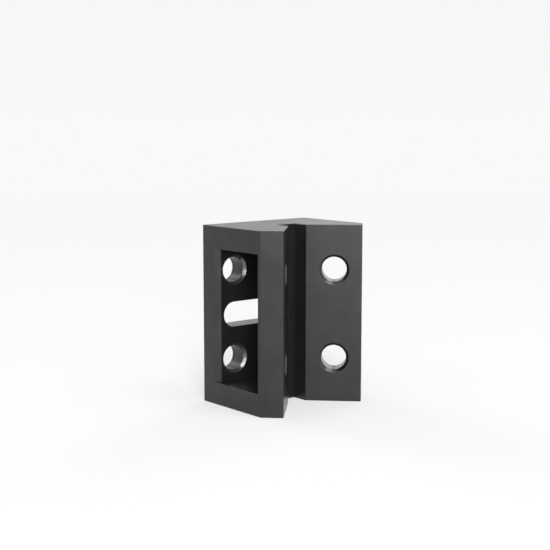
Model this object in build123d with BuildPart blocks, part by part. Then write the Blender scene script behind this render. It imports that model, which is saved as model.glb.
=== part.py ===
"""Three way corner connector for a modular fixturing and framing system.

One solid steel block with three bolting faces: a flat plate, and two legs that
turn back from its ends and meet in a square inside corner.  A pocket behind each
leg leaves room for the bolts.  X runs along the plate, +Y out of the plate's
bolting face, +Z up, and the origin is the centre of the underside.
"""
import os
from math import cos, radians, sin, tan

from build123d import *

# ---- overall plan -----------------------------------------------------------------
height = 200.0  # underside to top
plate_width = 150.0  # end face to end face
end_face_depth = 100.0  # how far an end face runs forward from the plate's bolting face
leg_end_width = 25.0  # narrow face that closes each leg, square to its bolting face
corner_angle = 90.0  # between the two legs' bolting faces
edge_break = 0.5  # 45 degree break on the outer edges

# ---- relief groove in the inside corner ---------------------------------------------
groove_width = 26.0
groove_web = 54.0  # steel left between the groove's floor and the plate's bolting face

# ---- walls round the two pockets ----------------------------------------------------
plate_thickness = 25.0
leg_thickness = 27.5
floor_thickness = 25.0
roof_thickness = 25.0
pocket_lead_in = 6.0  # 45 degree chamfer on the plate's edge of each pocket mouth
pocket_root_radius = 5.0  # in the narrow inner end of each pocket

# ---- bolt bores and slot ------------------------------------------------------------
bore_diameter = 28.0
bore_chamfer = 3.0  # 45 degrees, at both ends of every bore
plate_bore_spacing = 100.0  # across the plate
bore_rise = 100.0  # from a lower bore to the upper one, on the plate and on the legs
leg_bore_distance = 50.0  # from the inside corner's sharp meeting line to a leg's bores
slot_length = 130.0
slot_width = 28.0

cutter_overrun = 1.0  # how far a cutter runs on past the face it breaks through
on_face = 0.01  # an edge this near to a face lies on it

# ---- derived places -----------------------------------------------------------------
half_angle = radians(corner_angle / 2)
along_leg = Vector(sin(half_angle), -cos(half_angle))  # right leg, corner to tip
into_leg = Vector(cos(half_angle), sin(half_angle))  # right leg, bolting face to pocket

end_x = plate_width / 2
tip_break = edge_break * min(into_leg.X, into_leg.Y)  # what the edge break takes off a leg's tip
overall_depth = end_face_depth + leg_end_width * into_leg.Y - tip_break
plate_y = overall_depth / 2  # the plate's bolting face
leg_root = Vector(end_x, plate_y - end_face_depth)  # front edge of the end face
leg_tip = leg_root - into_leg * leg_end_width
corner = Vector(0, leg_tip.Y + leg_tip.X / tan(half_angle))  # the legs' faces would meet here

groove_floor_y = plate_y - groove_web
mid_z = height / 2

pocket_back_y = plate_y - plate_thickness
pocket_height = height - floor_thickness - roof_thickness
# the pocket's front wall is the leg's bolting face moved back by the leg's thickness
pocket_front_at_end = corner.Y + (leg_thickness - end_x * into_leg.X) / into_leg.Y
pocket_root_x = (leg_thickness - (pocket_back_y - corner.Y) * into_leg.Y) / into_leg.X

leg_bore_line = corner + along_leg * leg_bore_distance  # where the bores meet the right leg's face
bore_radius = bore_diameter / 2
rim_radius = bore_radius + bore_chamfer


def bolt_bore(wall):
    """Cutter for one bolt bore: a straight bore through a wall, chamfered at both faces.

    The wall's near face is local Z = 0 and its steel lies below, so the half section
    runs down the outside of the hole and is turned about Z.
    """
    with BuildPart() as bore:
        with BuildSketch(Plane.XZ):
            with BuildLine():
                Polyline(
                    (0, cutter_overrun),
                    (rim_radius, cutter_overrun),
                    (rim_radius, 0),
                    (bore_radius, -bore_chamfer),
                    (bore_radius, bore_chamfer - wall),
                    (rim_radius, -wall),
                    (rim_radius, -wall - cutter_overrun),
                    (0, -wall - cutter_overrun),
                    close=True,
                )
            make_face()
        revolve(axis=Axis.Z)
    return bore.part


plate_bore = bolt_bore(plate_thickness)
leg_bore = bolt_bore(leg_thickness)

# ---- the connector ------------------------------------------------------------------
with BuildPart() as connector_body:
    # outline seen from above, drawn for the right half and mirrored
    with BuildSketch():
        with BuildLine():
            Polyline(
                (0, plate_y),
                (end_x, plate_y),
                (leg_root.X, leg_root.Y),
                (leg_tip.X, leg_tip.Y),
                (corner.X, corner.Y),
            )
            mirror(about=Plane.YZ)
        make_face()
    extrude(amount=height)

    # relief groove along the inside corner, from its floor out through both legs' faces
    with BuildSketch():
        with Locations((0, groove_floor_y)):
            Rectangle(groove_width, overall_depth, align=(Align.CENTER, Align.MAX))
    extrude(amount=height, mode=Mode.SUBTRACT)

    # break the outer edges, but leave the groove's two inner corners as they are
    upright_edges = connector_body.edges().filter_by(Axis.Z)
    groove_corners = upright_edges.filter_by_position(
        Axis.Y, groove_floor_y - on_face, groove_floor_y + on_face
    )
    chamfer(connector_body.edges() - groove_corners, length=edge_break)

    # one pocket behind each leg, open at the end face
    with BuildSketch(Plane.XY.offset(floor_thickness)):
        with BuildLine():
            Polyline(
                (pocket_root_x, pocket_back_y),
                (end_x, pocket_back_y),
                (end_x, pocket_front_at_end),
                close=True,
            )
        make_face()
        fillet(vertices().sort_by(Axis.X)[0], radius=pocket_root_radius)
        mirror(about=Plane.YZ)
    extrude(amount=pocket_height, mode=Mode.SUBTRACT)

    # chamfer the plate's edge of each pocket mouth
    upright_edges = connector_body.edges().filter_by(Axis.Z)
    pocket_back_edges = upright_edges.filter_by_position(
        Axis.Y, pocket_back_y - on_face, pocket_back_y + on_face
    ).group_by(Axis.X)
    chamfer(pocket_back_edges[0] + pocket_back_edges[-1], length=pocket_lead_in)

    # four bores through the plate
    plate_face = Plane(origin=(0, plate_y, mid_z), x_dir=(1, 0, 0), z_dir=(0, 1, 0))
    with Locations(plate_face):
        with GridLocations(plate_bore_spacing, bore_rise, 2, 2):
            add(plate_bore, mode=Mode.SUBTRACT)

    # two bores through each leg, square to its bolting face
    for side in (-1, 1):
        leg_face = Plane(
            origin=(side * leg_bore_line.X, leg_bore_line.Y, mid_z),
            x_dir=(side * along_leg.X, along_leg.Y, 0),
            z_dir=(-side * into_leg.X, -into_leg.Y, 0),
        )
        with Locations(leg_face):
            with Locations((0, -bore_rise / 2), (0, bore_rise / 2)):
                add(leg_bore, mode=Mode.SUBTRACT)

    # long slot across the middle of the plate
    with BuildSketch(plate_face):
        SlotOverall(slot_length, slot_width)
    extrude(amount=-plate_thickness, mode=Mode.SUBTRACT)

connector_body.part.label = "connector_body"

os.makedirs("parts", exist_ok=True)
export_step(connector_body.part, "parts/connector_body.step")
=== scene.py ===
"""Looks of a three way corner connector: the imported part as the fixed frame, the block's
filed edges and nitrided finish, and a plain pale studio round it.  Metres, Z up."""

import bmesh
import bpy
import numpy as np
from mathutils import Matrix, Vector


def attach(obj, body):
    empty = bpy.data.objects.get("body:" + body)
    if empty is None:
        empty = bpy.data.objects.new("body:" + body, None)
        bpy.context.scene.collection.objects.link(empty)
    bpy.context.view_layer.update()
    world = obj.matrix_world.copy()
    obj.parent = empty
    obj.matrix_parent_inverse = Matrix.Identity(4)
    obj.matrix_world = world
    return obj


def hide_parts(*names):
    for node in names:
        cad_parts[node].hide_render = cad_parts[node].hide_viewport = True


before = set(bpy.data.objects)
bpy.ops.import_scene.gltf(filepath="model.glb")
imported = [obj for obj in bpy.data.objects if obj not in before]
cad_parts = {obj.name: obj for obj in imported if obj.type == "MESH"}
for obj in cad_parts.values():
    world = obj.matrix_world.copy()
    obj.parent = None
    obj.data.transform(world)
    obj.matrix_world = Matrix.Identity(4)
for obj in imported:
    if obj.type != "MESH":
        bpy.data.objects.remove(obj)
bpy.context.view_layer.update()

# ---- connector ----------------------------------------------------------------------
# One block of tool steel with three bolting faces: a flat plate, and two legs that turn
# back from it and meet in a square inside corner.  It is milled and ground all over, its
# holes are bored, and every edge is broken with a file before the block is nitrided.
MERGE_DISTANCE = 1e-6  # corners of neighbouring triangles that are one point
FLAT_ANGLE = np.radians(0.5)  # triangles that turn less than this are one flat face
SHARP_ANGLE = np.radians(30)  # a corner that turns more than this is a real edge
FILED_EDGE = 0.0002  # what the file and the tumbling take off an edge
FILED_STEPS = 2  # faces round each filed edge

LEVEL_NORMAL = 0.9  # a normal that lies along an axis is at least this long on it
BORE_REACH = 0.0175  # a face whose middle is nearer to a bore's axis is in that bore
LEG_BORE = (0.03536, -0.03705)  # where the legs' bore axes pass, half way through a leg
BORE_HEIGHTS = (0.050, 0.150)
DIAGONAL = np.sqrt(0.5)  # each part of a level direction at 45 degrees to the plate
BORE_SCALE = 0.6  # a boring bar's rings lie further apart than a grinding wheel's marks
METAL_SHARE = 0.6  # matched: the crust mirrors less and spreads more light than bare steel
PLATE_CHAMFER_HIGHLIGHT = (0.75, "#686868")  # metal share and grey, matched to their highlights: the grey is painted highlight, paler than the crust, and palest here because less light reaches into the pocket
# the same two, matched for the leg bores' chamfers
LEG_CHAMFER_HIGHLIGHT = (1.0, "#525252")  # the same two for the leg bores' chamfers: their grey is painted highlight too, less pale than the plate's
BORE_AXES = [  # a point on each bore's axis, the axis's direction, and the chamfers' metal share and painted highlight grey
    (place, direction, finish)
    for height in BORE_HEIGHTS
    for place, direction, finish in (
        ((-0.050, 0.0, height), (0.0, 1.0, 0.0), PLATE_CHAMFER_HIGHLIGHT),
        ((0.050, 0.0, height), (0.0, 1.0, 0.0), PLATE_CHAMFER_HIGHLIGHT),
        ((-LEG_BORE[0], LEG_BORE[1], height), (-DIAGONAL, DIAGONAL, 0.0), LEG_CHAMFER_HIGHLIGHT),
        ((LEG_BORE[0], LEG_BORE[1], height), (DIAGONAL, DIAGONAL, 0.0), LEG_CHAMFER_HIGHLIGHT),
    )
]


def merged_copy(node, name):
    """A CAD node's triangles as one closed skin: corners closer than MERGE_DISTANCE become
    one point, and neighbours that turn less than FLAT_ANGLE become one flat face."""
    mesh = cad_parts[node].data.copy()
    mesh.name = name
    shell = bmesh.new()
    shell.from_mesh(mesh)
    bmesh.ops.remove_doubles(shell, verts=shell.verts, dist=MERGE_DISTANCE)
    bmesh.ops.dissolve_limit(
        shell, angle_limit=FLAT_ANGLE, verts=shell.verts, edges=shell.edges
    )
    shell.to_mesh(mesh)
    shell.free()
    if "custom_normal" in mesh.attributes:
        mesh.attributes.remove(mesh.attributes["custom_normal"])
    mesh.polygons.foreach_set("use_smooth", np.ones(len(mesh.polygons), bool))
    mesh.set_sharp_from_angle(angle=SHARP_ANGLE)
    return mesh


def linear(hex_colour):
    """An sRGB hex colour as linear red, green, blue and alpha: each channel c is c / 12.92
    below 0.04045, and ((c + 0.055) / 1.055) to the power 2.4 above it."""
    srgb = np.array([int(hex_colour[i : i + 2], 16) for i in (1, 3, 5)]) / 255
    curve = np.where(srgb <= 0.04045, srgb / 12.92, ((srgb + 0.055) / 1.055) ** 2.4)
    return (*curve, 1.0)


def add_machining_map(mesh):
    """A UV map in metres that follows the tools: u runs across their passes and v along
    them.  On an upright wall, u is the place along the level tangent z x n and v the
    height.  On a level face, u = y and v = x.  In a bore, u is BORE_SCALE times the depth
    along its axis and v = 0, so that the marks are rings.  Each face's "bored" is 1 where
    it runs along the axis of a bore, and its "countersunk" where it slants to it, else 0.
    Its "metal" is the share of its surface that is metal, and "grey" a chamfer's colour, which
    paints highlight: paler than the crust so that the chamfer's crescents shine brighter."""
    points = np.empty(len(mesh.vertices) * 3)
    mesh.vertices.foreach_get("co", points)
    points = points.reshape(-1, 3)
    corners = np.empty(len(mesh.loops), int)
    mesh.loops.foreach_get("vertex_index", corners)
    faces = len(mesh.polygons)
    sizes = np.empty(faces, int)
    mesh.polygons.foreach_get("loop_total", sizes)
    normals = np.empty(faces * 3)
    mesh.polygons.foreach_get("normal", normals)
    normals = normals.reshape(-1, 3)
    middles = np.empty(faces * 3)
    mesh.polygons.foreach_get("center", middles)
    middles = middles.reshape(-1, 3)

    tangents = np.cross((0.0, 0.0, 1.0), normals)
    level = np.abs(normals[:, 2]) > LEVEL_NORMAL
    tangents[level] = (0.0, 1.0, 0.0)
    tangents /= np.linalg.norm(tangents, axis=1, keepdims=True)
    alongs = np.where(level[:, None], (1.0, 0.0, 0.0), (0.0, 0.0, 1.0))
    bored = np.zeros(faces)
    countersunk = np.zeros(faces)
    metal = np.full(faces, METAL_SHARE)
    grey = np.zeros(faces)
    for place, direction, (metal_share, highlight_grey) in BORE_AXES:
        away = np.linalg.norm(np.cross(middles - place, direction), axis=1)
        slant = np.abs(normals @ direction)
        inside = (away < BORE_REACH) & (slant < LEVEL_NORMAL)
        tangents[inside] = np.multiply(direction, BORE_SCALE)
        alongs[inside] = 0.0
        slanted = inside & (slant > 1 - LEVEL_NORMAL)
        bored[inside & ~slanted] = 1.0
        countersunk[slanted] = 1.0
        metal[slanted] = metal_share
        # painted highlight: a chamfer gets a paler grey than the crust, so that its crescents
        # shine brighter
        grey[slanted] = linear(highlight_grey)[0]

    spots = points[corners]
    across = np.sum(spots * np.repeat(tangents, sizes, axis=0), axis=1)
    along = np.sum(spots * np.repeat(alongs, sizes, axis=0), axis=1)
    machining = mesh.uv_layers.new(name="machining", do_init=False)
    machining.uv.foreach_set("vector", np.column_stack([across, along]).ravel())
    for name, values in (
        ("bored", bored),
        ("countersunk", countersunk),
        ("metal", metal),
        ("grey", grey),
    ):
        mesh.attributes.new(name, "FLOAT", "FACE").data.foreach_set("value", values)


connector_mesh = merged_copy("connector_body", "connector")
add_machining_map(connector_mesh)
connector = bpy.data.objects.new("connector", connector_mesh)
bpy.context.scene.collection.objects.link(connector)

filed = connector.modifiers.new("filed_edges", "BEVEL")
filed.width = FILED_EDGE
filed.segments = FILED_STEPS
filed.limit_method = "ANGLE"
filed.angle_limit = SHARP_ANGLE
shading = connector.modifiers.new("flat_faces_stay_flat", "WEIGHTED_NORMAL")
shading.mode = "FACE_AREA_WITH_ANGLE"


def add_node(tree, kind, settings=(), links=()):
    """Adds a node of this kind.  settings are (name or number, value) pairs for its own
    properties or input sockets, and links are (socket, output of an earlier node) pairs."""
    node = tree.nodes.new(kind)
    for name, value in settings:
        if isinstance(name, str) and hasattr(node, name):
            setattr(node, name, value)
        else:
            node.inputs[name].default_value = value
    for socket, output in links:
        tree.links.new(output, node.inputs[socket])
    return node


# Taken as gas nitrided tool steel, ground and bored before the furnace and oiled after it:
# a dark satin grey crust that still mirrors a bright lamp in a blur.  Clouds, faint tool
# marks and slightly paler edges are added to it, as such steel has them once handled.
CRUST_DARK = "#2d2d2e"
CRUST_PALE = "#353536"
CRUST_RUBBED = "#6a6968"
CLOUD_SIZE = 0.025  # how far apart the furnace's darker and paler clouds lie
GRAIN_SIZE = 0.0012  # the crust's grain is 0.02 mm: drawn this coarse so that it shows
PASS_SPACING = 0.0016  # the tool marks are 0.2 mm apart: drawn this coarse so that they show
PASS_LENGTH = 0.060  # how far one mark runs before it fades
RUB_WIDTH = 0.0012  # how far from an edge the added rubbing reaches
NOISE_LOW, NOISE_HIGH = 0.3, 0.7  # nearly all of a noise's values lie between these
MARKS_IN_SHADE = 0.45  # the tool marks' part of the crust's shade; the clouds give the rest
OPEN_EDGE, BURIED = 0.35, 0.9  # inner occlusion at an edge, and where the rubbing ends
MOST_RUBBED = 0.5
RING_FOOT, RING_CREST = 0.42, 0.6  # heights on the marks where a ring begins and is full
RING_WEAR = 0.25  # how much paler the crests of the bores' rings are
ROUGH_LEAST, ROUGH_MOST = 0.28, 0.34  # from the smoothest cloud to the roughest
ROUGH_SUNK = 0.27  # matched: the bores' chamfers shine a little more sharply
MARK_DEPTH = 0.00002
MARKS_IN_RELIEF = 0.6  # the tool marks' part of the relief; the grain gives the rest
RELIEF_STRENGTH = 0.5

nitrided_steel = bpy.data.materials.new("gas_nitrided_steel")
nitrided_steel.use_nodes = True
nitrided_steel.diffuse_color = linear(CRUST_DARK)
steel = nitrided_steel.node_tree
steel.nodes.clear()
place = add_node(steel, "ShaderNodeTexCoord").outputs["Object"]
machining = add_node(steel, "ShaderNodeUVMap", [("uv_map", "machining")]).outputs["UV"]
passes = add_node(
    steel,
    "ShaderNodeMapping",
    [("Scale", (1 / PASS_SPACING, 1 / PASS_LENGTH, 1.0))],
    [("Vector", machining)],
).outputs["Vector"]
marks = add_node(
    steel,
    "ShaderNodeTexNoise",
    [("Scale", 1.0), ("Detail", 2.0), ("Roughness", 0.5)],
    [("Vector", passes)],
).outputs["Fac"]
clouds = add_node(
    steel,
    "ShaderNodeTexNoise",
    [("Scale", 1 / CLOUD_SIZE), ("Detail", 3.0), ("Roughness", 0.55)],
    [("Vector", place)],
).outputs["Fac"]
grain = add_node(
    steel,
    "ShaderNodeTexNoise",
    [("Scale", 1 / GRAIN_SIZE), ("Detail", 2.0), ("Roughness", 0.6)],
    [("Vector", place)],
).outputs["Fac"]
cloudy_marks = add_node(
    steel,
    "ShaderNodeMix",
    [("data_type", "FLOAT"), (0, MARKS_IN_SHADE)],
    [(2, clouds), (3, marks)],
).outputs[0]
shade = add_node(
    steel,
    "ShaderNodeMapRange",
    [("From Min", NOISE_LOW), ("From Max", NOISE_HIGH)],
    [("Value", cloudy_marks)],
).outputs["Result"]
crust = add_node(
    steel,
    "ShaderNodeMix",
    [("data_type", "RGBA"), (6, linear(CRUST_DARK)), (7, linear(CRUST_PALE))],
    [(0, shade)],
).outputs[2]
near_edge = add_node(
    steel,
    "ShaderNodeAmbientOcclusion",
    [("inside", True), ("only_local", True), ("samples", 8), ("Distance", RUB_WIDTH)],
).outputs["AO"]
rubbed = add_node(
    steel,
    "ShaderNodeMapRange",
    [("From Min", BURIED), ("From Max", OPEN_EDGE), ("To Max", MOST_RUBBED)],
    [("Value", near_edge)],
).outputs["Result"]
rubbed_in_places = add_node(
    steel,
    "ShaderNodeMath",
    [("operation", "MULTIPLY")],
    [(0, rubbed), (1, clouds)],
).outputs[0]
crests = add_node(
    steel,
    "ShaderNodeMapRange",
    [("From Min", RING_FOOT), ("From Max", RING_CREST), ("To Max", RING_WEAR)],
    [("Value", marks)],
).outputs["Result"]
bored = add_node(steel, "ShaderNodeAttribute", [("attribute_name", "bored")]).outputs["Fac"]
worn = add_node(
    steel,
    "ShaderNodeMath",
    [("operation", "MULTIPLY_ADD")],
    [(0, bored), (1, crests), (2, rubbed_in_places)],
).outputs[0]
worn_crust = add_node(
    steel,
    "ShaderNodeMix",
    [("data_type", "RGBA"), (7, linear(CRUST_RUBBED))],
    [(0, worn), (6, crust)],
).outputs[2]
countersunk = add_node(
    steel, "ShaderNodeAttribute", [("attribute_name", "countersunk")]
).outputs["Fac"]
# the chamfers' grey is painted highlight: paler than the crust so that their crescents shine
# brighter
grey = add_node(steel, "ShaderNodeAttribute", [("attribute_name", "grey")]).outputs["Fac"]
colour = add_node(
    steel,
    "ShaderNodeMix",
    [("data_type", "RGBA")],
    [(0, countersunk), (6, worn_crust), (7, grey)],
).outputs[2]
metal = add_node(steel, "ShaderNodeAttribute", [("attribute_name", "metal")]).outputs["Fac"]
cloudy_roughness = add_node(
    steel,
    "ShaderNodeMapRange",
    [
        ("From Min", NOISE_LOW),
        ("From Max", NOISE_HIGH),
        ("To Min", ROUGH_LEAST),
        ("To Max", ROUGH_MOST),
    ],
    [("Value", clouds)],
).outputs["Result"]
roughness = add_node(
    steel,
    "ShaderNodeMix",
    [("data_type", "FLOAT"), (3, ROUGH_SUNK)],
    [(0, countersunk), (2, cloudy_roughness)],
).outputs[0]
relief = add_node(
    steel,
    "ShaderNodeMix",
    [("data_type", "FLOAT"), (0, MARKS_IN_RELIEF)],
    [(2, grain), (3, marks)],
).outputs[0]
bumps = add_node(
    steel,
    "ShaderNodeBump",
    [("Strength", RELIEF_STRENGTH), ("Distance", MARK_DEPTH)],
    [("Height", relief)],
).outputs["Normal"]
skin = add_node(
    steel,
    "ShaderNodeBsdfPrincipled",
    links=[
        ("Base Color", colour),
        ("Metallic", metal),
        ("Roughness", roughness),
        ("Normal", bumps),
    ],
)
add_node(steel, "ShaderNodeOutputMaterial", links=[("Surface", skin.outputs["BSDF"])])
connector_mesh.materials.clear()
connector_mesh.materials.append(nitrided_steel)

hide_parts("connector_body")
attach(connector, "root")

# ---- floor --------------------------------------------------------------------------
# A white paper sweep on a studio table, far wider than the block.  Part of its white is its
# own, as on a table lit from behind: less near the block, so that its shadow shows there,
# and all of it far off, where the sweep fades into the backdrop.
FLOOR_REACH = 60.0  # the camera sees no edge before the horizon
FLOOR_CORNERS = 96
PAPER_WHITE = "#f7f7f7"
HORIZON_WHITE = "#f9f9f9"
POOL_NEAR, POOL_FAR = 0.5, 4.5  # how far from the block the lamps' pool begins and ends
OWN_NEAR, OWN_FAR = 0.42, 1.0  # share of the floor's white that no shadow takes away


def seen_directly(tree):
    """1 for rays from the camera, and for those that a glossy or a clear surface passes on,
    else 0: the sum of Light Path's three marks, held at 1."""
    path = add_node(tree, "ShaderNodeLightPath").outputs
    total = path["Is Camera Ray"]
    for mark in ("Is Glossy Ray", "Is Transmission Ray"):
        total = add_node(
            tree,
            "ShaderNodeMath",
            [("operation", "ADD"), ("use_clamp", True)],
            [(0, total), (1, path[mark])],
        ).outputs[0]
    return total


floor_mesh = bpy.data.meshes.new("floor")
turn = np.linspace(0, 2 * np.pi, FLOOR_CORNERS, endpoint=False)
rim = np.column_stack([np.cos(turn), np.sin(turn), 0 * turn]) * FLOOR_REACH
floor_mesh.from_pydata(rim, [], [range(FLOOR_CORNERS)])
floor = bpy.data.objects.new("floor", floor_mesh)
bpy.context.scene.collection.objects.link(floor)

floor_paper = bpy.data.materials.new("matt_white_paper")
floor_paper.use_nodes = True
paper = floor_paper.node_tree
paper.nodes.clear()
spot = add_node(paper, "ShaderNodeTexCoord").outputs["Object"]
away = add_node(
    paper, "ShaderNodeVectorMath", [("operation", "LENGTH")], [(0, spot)]
).outputs["Value"]
own_share = add_node(
    paper,
    "ShaderNodeMapRange",
    [
        ("interpolation_type", "SMOOTHSTEP"),
        ("From Min", POOL_NEAR),
        ("From Max", POOL_FAR),
        ("To Min", OWN_NEAR),
        ("To Max", OWN_FAR),
    ],
    [("Value", away)],
).outputs["Result"]
glow = add_node(
    paper,
    "ShaderNodeMath",
    [("operation", "MULTIPLY")],
    [(0, seen_directly(paper)), (1, own_share)],
).outputs[0]
matt = add_node(paper, "ShaderNodeBsdfDiffuse", [("Color", linear(PAPER_WHITE))])
own = add_node(paper, "ShaderNodeEmission", [("Color", linear(HORIZON_WHITE)), ("Strength", 1.0)])
lit_paper = add_node(
    paper,
    "ShaderNodeMixShader",
    links=[("Fac", glow), (1, matt.outputs["BSDF"]), (2, own.outputs["Emission"])],
)
add_node(paper, "ShaderNodeOutputMaterial", links=[("Surface", lit_paper.outputs["Shader"])])
floor_mesh.materials.append(floor_paper)

# ---- light --------------------------------------------------------------------------
# A white studio with six softboxes, all far off so that the floor is lit evenly: a tall one
# and a low one in front, one high on the right, and three behind, which light the top.
SKY_WHITE = "#f7f7f7"
SKY_FADE = 0.1  # sine of the height at which the backdrop has its own white
FILL = 0.5  # strength of the white that the whole studio sends back
AIM = Vector((0.0, 0.0, 0.1))  # the middle of the block
CAMERA_SIDE = Vector((-0.6441833, -0.7648711, 0.0))  # from the block towards the camera
RIGHT_SIDE = Vector((-CAMERA_SIDE.y, CAMERA_SIDE.x, 0.0))
LAMP_DISTANCE = 8.0

world = bpy.data.worlds.new("studio")
bpy.context.scene.world = world
world.use_nodes = True
sky = world.node_tree
sky.nodes.clear()
way = add_node(sky, "ShaderNodeTexCoord").outputs["Generated"]
height = add_node(sky, "ShaderNodeSeparateXYZ", links=[("Vector", way)]).outputs["Z"]
fade = add_node(
    sky, "ShaderNodeMapRange", [("From Max", SKY_FADE)], [("Value", height)]
).outputs["Result"]
backdrop = add_node(
    sky,
    "ShaderNodeMix",
    [("data_type", "RGBA"), (6, linear(HORIZON_WHITE)), (7, linear(SKY_WHITE))],
    [(0, fade)],
).outputs[2]
fill = add_node(sky, "ShaderNodeBackground", [("Color", linear(SKY_WHITE)), ("Strength", FILL)])
shown = add_node(sky, "ShaderNodeBackground", [("Strength", 1.0)], [("Color", backdrop)])
studio = add_node(
    sky,
    "ShaderNodeMixShader",
    links=[
        ("Fac", seen_directly(sky)),
        (1, fill.outputs["Background"]),
        (2, shown.outputs["Background"]),
    ],
)
add_node(sky, "ShaderNodeOutputWorld", links=[("Surface", studio.outputs["Shader"])])


def softbox(name, azimuth, elevation, width, height, watts):
    """A rectangular lamp LAMP_DISTANCE from AIM, which faces it.  Azimuth is in degrees from
    the camera's side towards its right, elevation in degrees above the floor, and width and
    height in metres."""
    turn, rise = np.radians([azimuth, elevation])
    level = CAMERA_SIDE * np.cos(turn) + RIGHT_SIDE * np.sin(turn)
    way = level * np.cos(rise) + Vector((0.0, 0.0, np.sin(rise)))
    lamp_data = bpy.data.lights.new(name, "AREA")
    lamp_data.shape = "RECTANGLE"
    lamp_data.size = width
    lamp_data.size_y = height
    lamp_data.energy = watts
    lamp = bpy.data.objects.new(name, lamp_data)
    bpy.context.scene.collection.objects.link(lamp)
    lamp.location = AIM + way * LAMP_DISTANCE
    lamp.rotation_mode = "QUATERNION"
    lamp.rotation_quaternion = (-way).to_track_quat("-Z", "Y")
    lamp.visible_camera = False


softbox("key", 4, 34, 2.4, 5.4, 404)
softbox("low_front", 2, 7.5, 3.2, 1.9, 195)
softbox("high_right", 60, 66, 1.8, 4.4, 96)
softbox("back_left", -135, 25, 2.8, 2.8, 120)
softbox("back_right", 150, 35, 2.8, 2.8, 78)
softbox("low_back", 168, 9, 3.0, 2.0, 4)

# ---- camera -------------------------------------------------------------------------
# A long lens a little above the block, which looks down on it past its inside corner.
LENS = 74.63
SENSOR = 36.0
CAMERA_PLACE = (-0.82653, -0.95825, 0.31231)
CAMERA_PITCH = -7.616  # degrees above the horizon that it looks
CAMERA_TURN = -40.1045  # degrees from looking along +Y
CAMERA_SIGHT = 200.0  # past the floor's rim

camera_data = bpy.data.cameras.new("camera")
camera_data.lens = LENS
camera_data.sensor_width = SENSOR
camera_data.clip_end = CAMERA_SIGHT
camera = bpy.data.objects.new("camera", camera_data)
bpy.context.scene.collection.objects.link(camera)
camera.location = CAMERA_PLACE
camera.rotation_euler = np.radians((90 + CAMERA_PITCH, 0, CAMERA_TURN))
bpy.context.scene.camera = camera
bpy.context.scene.view_settings.view_transform = "Standard"
